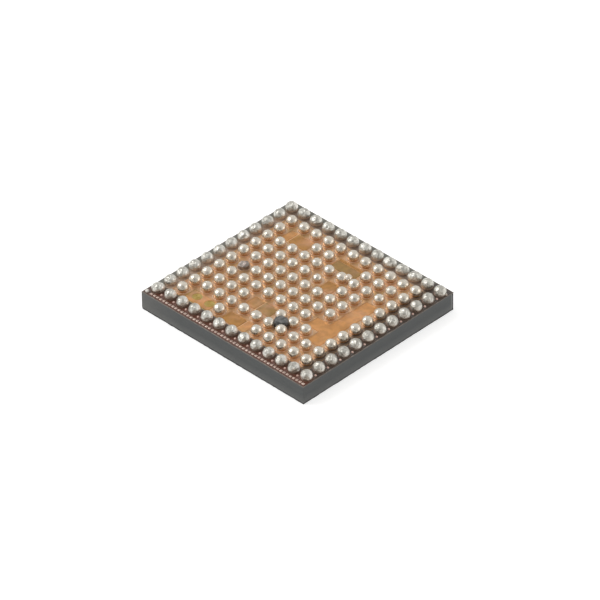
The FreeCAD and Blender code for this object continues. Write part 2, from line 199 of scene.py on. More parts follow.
# The broken corner is painted: a pale band of painted highlight along the break's rim, then painted
# shade inside the break.
near_corner = over(tree, along["X"], HALF_LENGTH - BROKEN_WIDTH, 0.00002)
for start, tone in ((BROKEN_FROM - BROKEN_RIM, BROKEN_RIM_HIGHLIGHT), (BROKEN_FROM, BROKEN_SHADE)):
    past = over(tree, along["Y"], start, 0.000004)
    side_colour = mix(tree, times(tree, past, near_corner), side_colour, tone)
tree.links.new(side_colour, shader.inputs["Base Color"])
tree.links.new(between(tree, cloudy, 0.45, 0.62), shader.inputs["Roughness"])
shader.inputs["Specular IOR Level"].default_value = 0.45
relief(tree, shader, grain(tree, 14000, place=on_piece(tree, stretch=(1, 1, 3))), 0.0000022, 0.6)

sawn_die = open_block(
    "sawn_die", (-HALF_LENGTH, -HALF_WIDTH, SILICON_FOOT), (HALF_LENGTH, HALF_WIDTH, SILICON_TOP)
)
pick(sawn_die, "FACE", lambda f: True)
bpy.ops.mesh.bisect(plane_co=(0, BROKEN_FROM, 0), plane_no=(0, 1, 0), threshold=NEAREST)
pick(sawn_die, "VERT", lambda v: v.co.x > HALF_LENGTH * 0.99 and v.co.y > HALF_WIDTH * 0.99)
bpy.ops.transform.translate(value=(-BROKEN_DEPTH, 0, 0))
pick(sawn_die, "EDGE", lambda e: abs(e.verts[0].co.z - e.verts[1].co.z) > SILICON_TOP / 2)
bpy.ops.mesh.bevel(offset=CORNER_ROUNDING, segments=2)
close_piece(sawn_die, sawn_silicon, 3)
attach(sawn_die, "root")
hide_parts("silicon_die")


# The film on the back of the die: a thin black sheet laminated to the wafer before sawing.
# It protects the silicon, and the saw leaves its cut edge a little ragged.
FILM_BLACK = (0.028, 0.029, 0.028, 1)
FILM_GREY = (0.055, 0.057, 0.055, 1)
FILM_BORDER = 0.00012
RAGGED_BY = 0.000006
RAGGED_STEPS = 70

film_finish, tree, shader = new_finish("back_film")
soot = grain(tree, 9000)
tree.links.new(mix(tree, soot, FILM_BLACK, FILM_GREY), shader.inputs["Base Color"])
tree.links.new(between(tree, soot, 0.6, 0.8), shader.inputs["Roughness"])
relief(tree, shader, grain(tree, 20000), 0.000003, 0.7)

film = open_block(
    "laminated_film",
    (-HALF_LENGTH + RAGGED_BY, -HALF_WIDTH + RAGGED_BY, 0),
    (HALF_LENGTH - RAGGED_BY, HALF_WIDTH - RAGGED_BY, SILICON_FOOT),
)
pick(film, "FACE", lambda f: f.normal.z < -0.5)
bpy.ops.mesh.inset(thickness=FILM_BORDER)
pick(film, "EDGE", lambda e: e.calc_length() > HALF_LENGTH and edge_middle(e).z < SILICON_FOOT / 4)
bpy.ops.mesh.subdivide(number_cuts=RAGGED_STEPS)
pick(
    film,
    "VERT",
    lambda v: v.co.z < SILICON_FOOT / 2
    and (abs(v.co.x) > HALF_LENGTH - 2 * RAGGED_BY or abs(v.co.y) > HALF_WIDTH - 2 * RAGGED_BY),
)
bpy.ops.transform.vertex_random(offset=RAGGED_BY, uniform=0.6, normal=0, seed=7)
pick(film, "VERT", lambda v: v.co.z < SILICON_FOOT / 2)
bpy.ops.transform.resize(value=(1, 1, 0), center_override=(0, 0, 0), orient_type="GLOBAL")
close_piece(film, film_finish, 30)
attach(film, "root")
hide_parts("back_film")


# The circuit layer: the transistors and their wiring, grown on the silicon as one thin sheet.
# Only its rim shows, in the street beside the film on top, as dark glass over fine metal.
STREET_DARK = (0.075, 0.062, 0.055, 1)
STREET_BROWN = (0.14, 0.11, 0.092, 1)
STREET_LINES = (0.14, 0.11, 0.095, 1)
STREET_EDGE_HIGHLIGHT = (0.23, 0.185, 0.16, 1)


def dress(node, finish):
    """Gives a solid that is already right its finish."""
    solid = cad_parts[node]
    solid.data.materials.clear()
    solid.data.materials.append(finish)


circuit_glass, tree, shader = new_finish("circuit_glass")
wiring = add_node(
    tree, "ShaderNodeTexBrick", Vector=on_piece(tree), Scale=16000, Color1=STREET_DARK,
    Color2=STREET_BROWN, Mortar=STREET_LINES, Mortar_Size=0.03,
).outputs["Color"]
side_on = add_node(tree, "ShaderNodeNewGeometry").outputs["Normal"]
up_share = add_node(tree, "ShaderNodeSeparateXYZ", Vector=side_on).outputs["Z"]
glassy = mix(tree, grain(tree, 5000), STREET_DARK, wiring)
# The layer's side faces are painted lighter than its top: a painted highlight along the top edge of
# the die's sides.
tree.links.new(mix(tree, up_share, STREET_EDGE_HIGHLIGHT, glassy), shader.inputs["Base Color"])
tree.links.new(between(tree, grain(tree, 9000), 0.25, 0.4), shader.inputs["Roughness"])
relief(tree, shader, grain(tree, 16000), 0.000001, 0.5)
dress("circuit_layer", circuit_glass)


# The seal ring: a fence of stacked metal round the whole circuit.
# It keeps cracks and damp from the sawn edge out, and shows as a thin pale line.
RING_BROWN = (0.16, 0.13, 0.11, 1)
RING_PALE = (0.42, 0.38, 0.34, 1)

ring_metal, tree, shader = new_finish("ring_metal")
worn = grain(tree, 6000, 0.3, 0.7)
tree.links.new(mix(tree, worn, RING_BROWN, RING_PALE), shader.inputs["Base Color"])
shader.inputs["Metallic"].default_value = 0.6
tree.links.new(between(tree, worn, 0.5, 0.3), shader.inputs["Roughness"])
dress("seal_ring", ring_metal)


# The base film: polyimide spun over the circuit and baked, under the copper.
# It is clear amber over the dark circuit: grey brown round the outer balls, maroon along the
# front, and brown in the lines between the islands.
GROUND_GREY = (0.50, 0.36, 0.27, 1)
GROUND_DARK = (0.30, 0.205, 0.15, 1)
RIM_GREY = (0.15, 0.148, 0.125, 1)
GROUND_MAROON = (0.135, 0.05, 0.033, 1)
GROUND_RIGHT_SHADE = (0.07, 0.052, 0.044, 1)
GROUND_BACK = (0.18, 0.13, 0.1, 1)
GROUND_FRONT_SHADE = (0.085, 0.058, 0.044, 1)
LINE_BROWN = (0.77, 0.465, 0.23, 1)
COIL_OLIVE = (0.50, 0.40, 0.12, 1)
plane_low, plane_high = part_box("copper_plane")
GRID_MIDDLE = ((plane_low + plane_high) / 2).to_2d().to_3d()
PLANE_EDGE_X = plane_high.x - GRID_MIDDLE.x
PLANE_EDGE_Y = plane_high.y - GRID_MIDDLE.y
# How far from the grid's middle each tone of the ground begins
LEFT_GREY_FROM = 0.00241
BACK_GREY_FROM = 0.0023
BACK_FROM = 0.00205
DIM_FROM = 0.00204
BLACK_FROM = 0.00201
MAROON_FROM = 0.00214
COILS_LEFT_OF = 0.00099
COILS_BEFORE = 0.0016


def on_grid(tree):
    """X, Y and Z on the chip, counted from the middle of the grid of balls."""
    place = add_node(tree, "ShaderNodeTexCoord").outputs["Object"]
    centred = add_node(tree, "ShaderNodeMapping", Vector=place, Location=-GRID_MIDDLE).outputs[0]
    return add_node(tree, "ShaderNodeSeparateXYZ", Vector=centred).outputs


def outer_ring(tree):
    """1 outside the copper plane, where the outer balls stand, and 0 over it."""
    place = on_grid(tree)
    beside = over(tree, arithmetic(tree, "ABSOLUTE", place["X"]), PLANE_EDGE_X)
    beyond = over(tree, arithmetic(tree, "ABSOLUTE", place["Y"]), PLANE_EDGE_Y)
    return arithmetic(tree, "MAXIMUM", beside, beyond)


def ground_colour(tree):
    """The ground round the outer balls: grey at the rim and maroon in front, with painted shade to
    the right and round the front balls.
    """
    place = on_grid(tree)
    ground = mix(tree, grain(tree, 3400, 0.3, 0.7), GROUND_GREY, GROUND_DARK)
    to_left = over(tree, times(tree, place["X"], -1), LEFT_GREY_FROM, 0.00007)
    to_back = over(tree, place["Y"], BACK_GREY_FROM, 0.00005)
    ground = mix(tree, over(tree, place["Y"], BACK_FROM), ground, GROUND_BACK)
    ground = mix(tree, arithmetic(tree, "MAXIMUM", to_left, to_back), ground, RIM_GREY)
    # Towards the last row the ground is painted near black: painted shade between the balls.
    ground = mix(tree, over(tree, place["X"], DIM_FROM), ground, GROUND_RIGHT_SHADE)
    forward = times(tree, place["Y"], -1)
    # A band round the front balls is painted near black: painted shade in the gaps between them.
    ground = mix(tree, over(tree, forward, BLACK_FROM, 0.00002), ground, GROUND_FRONT_SHADE)
    maroon = over(tree, forward, MAROON_FROM, 0.00008)
    maroon = times(tree, maroon, between(tree, to_left, 0.95, 0.3))
    return mix(tree, maroon, ground, GROUND_MAROON)


polyimide, tree, shader = new_finish("polyimide")
place = on_grid(tree)
left_of = over(tree, times(tree, place["X"], -1), COILS_LEFT_OF)
before = over(tree, times(tree, place["Y"], -1), COILS_BEFORE)
near_coils = times(tree, left_of, before)
lines = mix(tree, near_coils, LINE_BROWN, COIL_OLIVE)
ground = mix(tree, outer_ring(tree), lines, ground_colour(tree))
tree.links.new(ground, shader.inputs["Base Color"])
tree.links.new(between(tree, grain(tree, 7000), 0.25, 0.42), shader.inputs["Roughness"])
shader.inputs["Coat Weight"].default_value = 0.3
shader.inputs["Coat Roughness"].default_value = 0.3
relief(tree, shader, grain(tree, 5200), 0.000003, 0.5)
dress("base_polyimide", polyimide)


# The copper: plated over the base film in one sheet, then etched into a plane and islands.
# A clear film over it leaves it as glossy as varnish, so the balls are mirrored in it, and the
# copper shows through redder, golder or greener where the film is thinner or thicker.
COPPER_TONES = {
    "pale_copper": ((0.59, 0.345, 0.165, 1), (0.71, 0.44, 0.25, 1)),
    "copper": ((0.61, 0.29, 0.09, 1), (0.74, 0.36, 0.14, 1)),
    "gold_copper": ((0.45, 0.215, 0.05, 1), (0.52, 0.255, 0.075, 1)),
    "olive_copper": ((0.34, 0.2, 0.065, 1), (0.43, 0.245, 0.075, 1)),
}
COPPER_PIECES = {
    "pale_copper": ["copper_plane"],
    "copper": ["island_c10_left", "island_l4_strip", "island_c2", "island_f2_right"],
    "gold_copper": ["island_c10_right", "island_f4_left", "island_f2_left", "island_g10_band"],
    "olive_copper": ["island_g10", "island_f4_right"],
}
ROSE = (0.74, 0.40, 0.25, 1)
MOSS = (0.44, 0.335, 0.15, 1)
COPPER_RIGHT_SHADE = (0.22, 0.165, 0.125, 1)
HATCH_BROWN = (0.36, 0.17, 0.05, 1)


def copper_finish(name, tones):
    """Plated copper of two tones, with blushes of rose and green, painted shade towards the last
    row, and a clear coat.
    """
    finish, tree, shader = new_finish(name)
    tone = mix(tree, grain(tree, 2100, 0.35, 0.65), *tones)
    rosy = grain(tree, 1300, 0.52, 0.7, place=on_piece(tree, turn=(0, 0, 1)))
    mossy = grain(tree, 1700, 0.55, 0.72, place=on_piece(tree, turn=(1, 0, 2)))
    tone = mix(tree, between(tree, rosy, 0, 0.8), tone, ROSE)
    tone = mix(tree, between(tree, mossy, 0, 0.6), tone, MOSS)
    tone = mix(tree, between(tree, grain(tree, 13000, 0.3, 0.7), 0, 0.3), tone, tones[0])
    mottle = grain(tree, 5600, 0.4, 0.6, 4, on_piece(tree, turn=(0, 0, 2)))
    mottle = between(tree, mottle, 0.9, 1.1)
    tone = add_node(tree, "ShaderNodeVectorMath", {"operation": "SCALE"}, _0=tone, Scale=mottle)
    tone = tone.outputs[0]
    # Towards the last row the copper is painted dark: painted shade between the balls.
    tone = mix(tree, over(tree, on_grid(tree)["X"], DIM_FROM), tone, COPPER_RIGHT_SHADE)
    tree.links.new(tone, shader.inputs["Base Color"])
    shader.inputs["Metallic"].default_value = 0.75
    shader.inputs["Coat Weight"].default_value = 0.25
    shader.inputs["Coat Roughness"].default_value = 0.15
    tree.links.new(between(tree, grain(tree, 4000), 0.28, 0.4), shader.inputs["Roughness"])
    relief(tree, shader, grain(tree, 9000), 0.0000016, 0.4)
    return finish, tree, shader, tone


for name, tones in COPPER_TONES.items():
    plated = copper_finish(name, tones)[0]
    for node in COPPER_PIECES[name]:
        dress(node, plated)

hatched, tree, shader, tone = copper_finish("hatched_copper", COPPER_TONES["gold_copper"])
hatching = add_node(
    tree, "ShaderNodeTexWave", Vector=on_piece(tree, turn=(0, 0, math.radians(20))),
    Scale=2600, Distortion=0.6, Detail=1,
).outputs["Fac"]
tone = mix(tree, between(tree, hatching, 0.0, 0.35), tone, HATCH_BROWN)
tree.links.new(tone, shader.inputs["Base Color"])
dress("island_h8", hatched)


# The two coils: flat spirals of the same copper near the left corner, one to each window.
# They are the chip's inductors, and their fine turns look yellow green.
COIL_GREEN = (0.62, 0.45, 0.14, 1)
COIL_YELLOW = (0.80, 0.62, 0.25, 1)

coil_metal, tree, shader = new_finish("coil_metal")
tint = grain(tree, 9000, 0.3, 0.7)
tree.links.new(mix(tree, tint, COIL_GREEN, COIL_YELLOW), shader.inputs["Base Color"])
shader.inputs["Metallic"].default_value = 1.0
tree.links.new(between(tree, tint, 0.3, 0.4), shader.inputs["Roughness"])
for node in ("coil_c2", "coil_d2"):
    dress(node, coil_metal)


# The pads: a round land of copper under each ball, in its own opening of the plane.
# Each has a low rolled rim where the cover film ends; the rim's crest is painted paler as a painted
# highlight, and the land is painted paler on its two flanks as a painted reflection.
PITCH = 0.0004
MIDDLE_ROW = 6
MIDDLE_COLUMN = 5.5
ROWS = "abcdefghjklmn"
pads_low, pads_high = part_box("pads_row_a")
PAD_FOOT, PAD_TOP = pads_low.z, pads_high.z
PAD_RADIUS = (pads_high.x - pads_low.x) / 2
RIM_RADIUS = PAD_RADIUS + 0.0000145
RIM_HEIGHT = 0.000003
RIM_STEPS = ((0.000002, 0.7), (0.000003, 0.3), (0.000003, -0.3), (0.000004, -0.7))
RIM_HIGHLIGHT = (0.76, 0.53, 0.36, 1)
RIM_HIGHLIGHT_PALE = (0.90, 0.72, 0.56, 1)
LAND_COPPER = (0.70, 0.40, 0.20, 1)
LAND_FLANK_REFLECTION = (0.78, 0.58, 0.43, 1)
FLANKS_FROM = 0.000115


def columns_in(node):
    """The columns that a row of the grid has, read from its solids."""
    points = [v.co - GRID_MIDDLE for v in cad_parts[node].data.vertices]
    return sorted({round(p.y / PITCH + MIDDLE_COLUMN) for p in points})


def spot(row, column):
    """The place of one ball on the chip."""
    return GRID_MIDDLE + Vector(((row - MIDDLE_ROW) * PITCH, (column - MIDDLE_COLUMN) * PITCH, 0))


def copy_to(pattern, place):
    """One more of a piece modelled once, with a mesh of its own, moved to its place."""
    copy = pattern.copy()
    copy.data = pattern.data.copy()
    bpy.context.collection.objects.link(copy)
    copy.data.transform(Matrix.Translation(place))
    return copy


def join_copies(name, copies):
    """Joins copies into the one piece that stands for a node."""
    bpy.ops.object.select_all(action="DESELECT")
    for copy in copies:
        copy.select_set(True)
    bpy.context.view_layer.objects.active = copies[0]
    if len(copies) > 1:
        bpy.ops.object.join()
    copies[0].name = copies[0].data.name = name
    return copies[0]


def flanks(tree):
    """1 on the two flanks of each ball and pad, which the light reaches, and 0 between them; it
    places painted highlights and painted reflections.
    """
    place = on_grid(tree)
    across = []
    for number in (place["X"], arithmetic(tree, "ADD", place["Y"], PITCH / 2)):
        wrapped = add_node(
            tree, "ShaderNodeMath", {"operation": "WRAP"}, _0=number, _1=PITCH / 2, _2=-PITCH / 2
        )
        across.append(wrapped.outputs[0])
    aside = arithmetic(tree, "ABSOLUTE", arithmetic(tree, "ADD", *across))
    return over(tree, aside, FLANKS_FROM, 0.00004)


pad_copper, tree, shader = new_finish("pad_copper")
bright = grain(tree, 8000, 0.3, 0.7)
rim = mix(tree, bright, RIM_HIGHLIGHT, RIM_HIGHLIGHT_PALE)
height = add_node(tree, "ShaderNodeSeparateXYZ", Vector=on_piece(tree)).outputs["Z"]
# The land is painted paler on its two flanks: a painted reflection of the balls' highlights.
land = mix(tree, flanks(tree), LAND_COPPER, LAND_FLANK_REFLECTION)
# The rim's crest is painted paler than the land: a painted highlight.
rim = mix(tree, over(tree, height, PAD_TOP + RIM_HEIGHT / 2, 0.000001), land, rim)
# Pads in the outer ring take the ground's colour, and so do those towards the last row, where that
# colour is painted shade.
ground_toned = arithmetic(tree, "MAXIMUM", outer_ring(tree), over(tree, on_grid(tree)["X"], DIM_FROM))
ground_toned = between(tree, ground_toned, 0, 0.9)
tree.links.new(mix(tree, ground_toned, rim, ground_colour(tree)), shader.inputs["Base Color"])
tree.links.new(between(tree, outer_ring(tree), 0.4, 0.2), shader.inputs["Metallic"])
tree.links.new(between(tree, bright, 0.42, 0.3), shader.inputs["Roughness"])

bpy.ops.object.select_all(action="DESELECT")
bpy.ops.mesh.primitive_cylinder_add(
    vertices=24, radius=RIM_RADIUS, depth=PAD_TOP - PAD_FOOT,
    location=(0, 0, (PAD_TOP + PAD_FOOT) / 2),
)
one_pad = open_piece("one_pad")
pick(one_pad, "FACE", lambda f: f.normal.z > 0.5)
for inwards, upwards in RIM_STEPS:
    bpy.ops.mesh.inset(thickness=inwards)
    bpy.ops.transform.translate(value=(0, 0, RIM_HEIGHT * upwards))
close_piece(one_pad, pad_copper, 60)
for number, letter in enumerate(ROWS):
    node = "pads_row_" + letter
    lands = [copy_to(one_pad, spot(number, column)) for column in columns_in(node)]
    row = join_copies("collars_row_" + letter, lands)
    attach(row, "root")
    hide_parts(node)
bpy.data.objects.remove(one_pad)


# The balls: beads of tin solder, melted on to the pads so that each sits as a cut sphere.
# Handling has pushed a few out of round, smeared two, and dented, scratched and dulled the outer
# ones. Their undersides are painted with reflections of the copper and of the dark ground round it,
# and the outer ones carry painted highlights and painted shade.
balls_low, balls_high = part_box("solder_row_a")
BALL_FOOT = balls_low.z
BALL_RADIUS = (balls_high.x - balls_low.x) / 2
BALL_CENTRE = balls_high.z - BALL_RADIUS
BALL_GREY = (0.69, 0.63, 0.54, 1)
BALL_PALE = (0.80, 0.745, 0.655, 1)
FLANK_REFLECTION = (0.82, 0.70, 0.57, 1)
HANDLED_GREY = (0.63, 0.615, 0.56, 1)
HANDLED_PALE = (0.82, 0.805, 0.745, 1)
GRIME = (0.24, 0.225, 0.195, 1)
RIGHT_ROW_SHADE = (0.44, 0.415, 0.37, 1)
SIDE_HIGHLIGHT = (0.97, 0.93, 0.88, 1)
HIGHLIGHT_DIMMING = (0.42, 0.405, 0.37, 1)
TOP_SHADE = (0.44, 0.42, 0.38, 1)
FRONT_SHADE = (0.37, 0.32, 0.265, 1)
UNDERSIDE_COPPER_REFLECTION = (0.65, 0.37, 0.17, 1)
UNDERSIDE_FLANK_REFLECTION = (0.82, 0.62, 0.45, 1)
OUTER_UNDERSIDE_REFLECTION = (0.78, 0.63, 0.5, 1)
BELOW_SHADED = (0.39, 0.31, 0.25, 1)
PINK_REFLECTION = (0.86, 0.64, 0.55, 1)
DENTED_BY = 0.000007
WORN_BY = 0.0000025
SHAPED_FROM = 0.00001
LAST_COLUMN = 11
LAST_COLUMN_WIDER = 1.04
# Along, across and up, as shares of a whole ball, and how far that is turned
ODD_BALLS = {
    (6, 7): (0.8, 0.8, 0.84, 0),
    (10, 8): (0.95, 0.95, 0.95, 0),
    (5, 2): (1.02, 1.0, 0.92, 0),
    (6, 2): (1.04, 1.0, 0.9, 30),
    (0, 0): (1.1, 1.06, 0.9, 45),
    (8, 11): (1.2, 0.97, 0.97, 12),
    (9, 11): (1.18, 0.95, 0.97, 25),
    (10, 11): (1.18, 0.96, 0.98, 40),
    (10, 10): (1.04, 1.0, 0.86, 45),
    (9, 10): (1.05, 1.05, 0.97, 0),
    (8, 6): (1.02, 1.02, 1.0, 0),
}
# Smears: place on the chip beside the ball, then length, width and height, and the turn
SMEARS = {
    (7, 8): ((0.000125, 0.000095, 0), (0.72, 0.74, 0.82), 45),
    (12, 11): ((0.000118, 0.000036, 0), (0.47, 0.2, 0.34), 17),
}


def facing_to(tree, direction):
    """How far the surface is turned to a direction, from -1 to 1."""
    turned = add_node(tree, "ShaderNodeNewGeometry").outputs["Normal"]
    return add_node(
        tree, "ShaderNodeVectorMath", {"operation": "DOT_PRODUCT"}, _0=turned, _1=direction
    ).outputs["Value"]


solder, tree, shader = new_finish("solder")
scuffs = grain(tree, 12000, 0.35, 0.65, 4)
place = on_grid(tree)
to_left = over(tree, times(tree, place["X"], -1), PLANE_EDGE_X)
to_right = over(tree, place["X"], PLANE_EDGE_X)
to_front = over(tree, times(tree, place["Y"], -1), PLANE_EDGE_Y)
underside = share_from(tree, place["Z"], BALL_CENTRE + 0.00001, BALL_CENTRE - 0.00003)

# The colour of the inner balls, with painted reflections on their flanks and undersides
clean = mix(tree, scuffs, BALL_GREY, BALL_PALE)
# The flanks are painted warm: a painted reflection of the copper.
clean = mix(tree, between(tree, flanks(tree), 0, 0.6), clean, FLANK_REFLECTION)
# The undersides are painted orange, paler on the flanks: a painted reflection of the copper.
clean = mix(tree, underside, clean, mix(tree, flanks(tree), UNDERSIDE_COPPER_REFLECTION, UNDERSIDE_FLANK_REFLECTION))

# The colour of the outer balls, from their tops down: their own tone and grime, with painted
# highlights, painted shade and painted reflections
outer_colour = mix(tree, scuffs, HANDLED_GREY, HANDLED_PALE)
grime = grain(tree, 13000, 0.52, 0.62, 2)
outer_colour = mix(tree, between(tree, grime, 0, 0.5), outer_colour, GRIME)
# The last row is painted darker: painted shade.
outer_colour = mix(tree, between(tree, to_right, 0, 0.35), outer_colour, RIGHT_ROW_SHADE)
# A side of the front and left balls is painted near white: a painted highlight.
side_highlight_share = over(tree, facing_to(tree, (0.75, 0.55, 0.25)), 0.66, 0.22)
side_highlight_share = times(tree, side_highlight_share, arithmetic(tree, "MAXIMUM", to_front, between(tree, to_left, 0, 0.6)))
outer_colour = mix(tree, between(tree, side_highlight_share, 0, 0.75), outer_colour, SIDE_HIGHLIGHT)
# Where the left lamp's highlight falls on the front and left balls, the colour is painted darker:
# painted shade over the highlight.
highlight_dimming_share = over(tree, facing_to(tree, (-0.25, -0.42, 0.87)), 0.9, 0.08)
highlight_dimming_share = times(tree, highlight_dimming_share, arithmetic(tree, "MAXIMUM", to_front, to_left))
outer_colour = mix(tree, between(tree, highlight_dimming_share, 0, 0.5), outer_colour, HIGHLIGHT_DIMMING)
# The tops of the outer balls are painted darker: painted shade.
rubbed_and_top_shade = over(tree, facing_to(tree, (0, 0, 1)), 0.93, 0.06)
outer_colour = mix(tree, between(tree, rubbed_and_top_shade, 0, 0.25), outer_colour, TOP_SHADE)
# The side facing forward and right, on the front and right balls, is painted dark brown: painted
# shade.
front_shade_share = over(tree, facing_to(tree, (0.7, -0.7, 0.1)), 0.89, 0.05)
front_shade_share = times(tree, front_shade_share, arithmetic(tree, "MAXIMUM", between(tree, to_right, 0, 0.6), to_front))
outer_colour = mix(tree, front_shade_share, outer_colour, FRONT_SHADE)
# The outer balls' undersides are painted as a reflection of the ground: pale, and dark on the front
# and right balls, in painted shade.
in_shade = arithmetic(tree, "MAXIMUM", to_right, to_front)
outer_colour = mix(tree, underside, outer_colour, mix(tree, in_shade, OUTER_UNDERSIDE_REFLECTION, BELOW_SHADED))
# On the last row, the lower sides facing the front are painted pink: a painted reflection of the
# copper below.
pink_reflection_share = over(tree, facing_to(tree, (-0.42, -0.84, -0.34)), 0.84, 0.07)
pink_reflection_share = between(tree, times(tree, to_right, pink_reflection_share), 0, 0.6)
outer_colour = mix(tree, pink_reflection_share, outer_colour, PINK_REFLECTION)
tree.links.new(mix(tree, outer_ring(tree), clean, outer_colour), shader.inputs["Base Color"])

# The gloss, and the marks in the surface, deeper on the outer balls
bare = times(tree, between(tree, underside, 1, 0.5), between(tree, flanks(tree), 1, 0.8))
tree.links.new(bare, shader.inputs["Metallic"])
dullness = times(tree, outer_ring(tree), 0.11)
roughness = arithmetic(tree, "ADD", between(tree, scuffs, 0.19, 0.32), dullness)
tree.links.new(roughness, shader.inputs["Roughness"])
cells = add_node(
    tree, "ShaderNodeTexVoronoi", {"feature": "DISTANCE_TO_EDGE"}, Vector=on_piece(tree), Scale=8500
)
marks = (
    (grain(tree, 6500, 0.2, 0.8, 1), 0.000012, 0.000034),
    (grain(tree, 19000, 0.2, 0.8, 3), 0.0000035, 0.000008),
    (over(tree, cells.outputs["Distance"], 0.05, 0.05), 0, 0.000007),
)
under = {}
for height, inner_depth, outer_depth in marks:
    depth = between(tree, outer_ring(tree), inner_depth, outer_depth)
    marked = add_node(
        tree, "ShaderNodeBump", Strength=0.8, Distance=depth, Height=height, **under
    ).outputs[0]
    under = {"Normal": marked}
tree.links.new(marked, shader.inputs["Normal"])


def cut_flat(height):
    """Cuts what is selected off below a height and closes the cut."""
    bpy.ops.mesh.bisect(
        plane_co=(0, 0, height), plane_no=(0, 0, 1), use_fill=True, clear_inner=True,
        threshold=NEAREST,
    )


bpy.ops.object.select_all(action="DESELECT")
bpy.ops.mesh.primitive_uv_sphere_add(
    segments=24, ring_count=14, radius=BALL_RADIUS, location=(0, 0, BALL_CENTRE)
)
one_ball = open_piece("one_ball")
pick(one_ball, "FACE", lambda f: True)
cut_flat(BALL_FOOT)
close_piece(one_ball, solder, 50)


def bead(place, shares, turned):
    """One more ball on its foot at a place, in its own proportions."""
    ball = copy_to(one_ball, (0, 0, 0))
    ball.data.transform(
        Matrix.Translation(place + Vector((0, 0, BALL_FOOT)))
        @ Matrix.Rotation(math.radians(turned), 4, "Z")
        @ Matrix.Diagonal((*shares, 1))
        @ Matrix.Translation((0, 0, -BALL_FOOT))
    )
    return ball


def on_side(vertex):
    """Whether a point is on the side of a ball, and not at its foot or its top."""
    return BALL_FOOT + SHAPED_FROM < vertex.co.z < balls_high.z - SHAPED_FROM


def was_handled(vertex):
    """Whether a point is on the side of an outer ball, where fingers and tools have touched it."""
    place = vertex.co - GRID_MIDDLE
    outside = abs(place.x) > PLANE_EDGE_X or abs(place.y) > PLANE_EDGE_Y
    return outside and on_side(vertex)


def was_sheltered(vertex):
    """Whether a point is on the side of an inner ball."""
    return on_side(vertex) and not was_handled(vertex)


for number, letter in enumerate(ROWS):
    node = "solder_row_" + letter
    balls = []
    for column in columns_in(node):
        wide = LAST_COLUMN_WIDER if column == LAST_COLUMN else 1
        *shares, turned = ODD_BALLS.get((number, column), (wide, wide, 1, 0))
        balls.append(bead(spot(number, column), shares, turned))
        if (number, column) in SMEARS:
            beside, shares, turned = SMEARS[number, column]
            balls.append(bead(spot(number, column) + Vector(beside), shares, turned))
    row = join_copies("balls_row_" + letter, balls)
    bpy.ops.object.mode_set(mode="EDIT")
    for wanted, offset in ((was_handled, DENTED_BY), (was_sheltered, WORN_BY)):
        pick(row, "VERT", wanted)
        bpy.ops.transform.vertex_random(offset=offset, uniform=0, normal=0, seed=number + 1)
        bpy.ops.mesh.vertices_smooth(factor=0.3)
    bpy.ops.object.mode_set(mode="OBJECT")
    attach(row, "root")
    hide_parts(node)
bpy.data.objects.remove(one_ball)


# The damaged ball: one bead near the middle, pressed flat and dull by a probe.
# The press left a dent on the side towards the front, and its upper left shoulder is painted pale
# as a painted highlight.
pressed_low, pressed_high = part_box("damaged_ball_c6")
pressed_middle = (pressed_low + pressed_high) / 2
PRESSED_RADIUS = (pressed_high.x - pressed_low.x) / 2
PRESSED_CENTRE = 0.000555
PRESSED_ROUND = 0.00002
TILTED_FROM = 0.00006
DULL_DARK = (0.36, 0.32, 0.29, 1)
DULL_PALE = (0.68, 0.61, 0.555, 1)
DULL_BROWN = (0.17, 0.14, 0.12, 1)
SHOULDER_HIGHLIGHT = (0.86, 0.70, 0.64, 1)

dull_solder, tree, shader = new_finish("dull_solder")
pitted = grain(tree, 14000, 0.35, 0.65, 4)
patch = grain(tree, 7000, 0.42, 0.58, 2)
dull = mix(tree, pitted, DULL_DARK, DULL_PALE)
dull = mix(tree, between(tree, patch, 0, 0.75), dull, DULL_BROWN)
# The upper left shoulder is painted pale: a painted highlight.
shoulder_highlight_share = over(tree, facing_to(tree, (-0.62, -0.2, 0.76)), 0.86, 0.1)
dull = mix(tree, between(tree, shoulder_highlight_share, 0, 0.6), dull, SHOULDER_HIGHLIGHT)
tree.links.new(dull, shader.inputs["Base Color"])
shader.inputs["Metallic"].default_value = 0.8
tree.links.new(between(tree, pitted, 0.26, 0.5), shader.inputs["Roughness"])
relief(tree, shader, grain(tree, 9000, 0.2, 0.8, 4), 0.00002, 1.0)

bpy.ops.object.select_all(action="DESELECT")
bpy.ops.mesh.primitive_uv_sphere_add(
    segments=32, ring_count=24, radius=PRESSED_RADIUS,
    location=(pressed_middle.x, pressed_middle.y, PRESSED_CENTRE),
)
pressed = open_piece("pressed_ball")
pick(pressed, "FACE", lambda f: True)
cut_flat(pressed_low.z)
pick(pressed, "VERT", lambda v: v.co.z > pressed_high.z - PRESSED_ROUND)
bpy.ops.transform.resize(
    value=(1, 1, 0.16), center_override=(0, 0, pressed_high.z - PRESSED_ROUND),
    orient_type="GLOBAL",
)
dent = pressed_middle + Vector((0.00002, -0.00006, 0.00007))
pick(pressed, "VERT", lambda v: (v.co - dent).length < 0.00006)
bpy.ops.transform.translate(value=(-0.000004, 0.000012, -0.000016))
pick(pressed, "VERT", lambda v: v.co.z > pressed_high.z - TILTED_FROM)
bpy.ops.transform.rotate(
    value=math.radians(9), orient_axis="Y", orient_type="GLOBAL",
    center_override=(pressed_middle.x, pressed_middle.y, pressed_high.z - TILTED_FROM),
)
pick(pressed, "VERT", lambda v: v.co.z > pressed_low.z + 0.00002)
bpy.ops.mesh.vertices_smooth(factor=0.5, repeat=2)
close_piece(pressed, dull_solder, 60)
ridges = bpy.data.textures.new("ridges", "CLOUDS")
ridges.noise_scale = 0.00007
rough = pressed.modifiers.new("rough", "DISPLACE")
rough.texture = ridges
rough.strength = 0.000045
rough.mid_level = 0.55
bpy.ops.object.modifier_apply(modifier=rough.name)
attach(pressed, "root")
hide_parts("damaged_ball_c6")


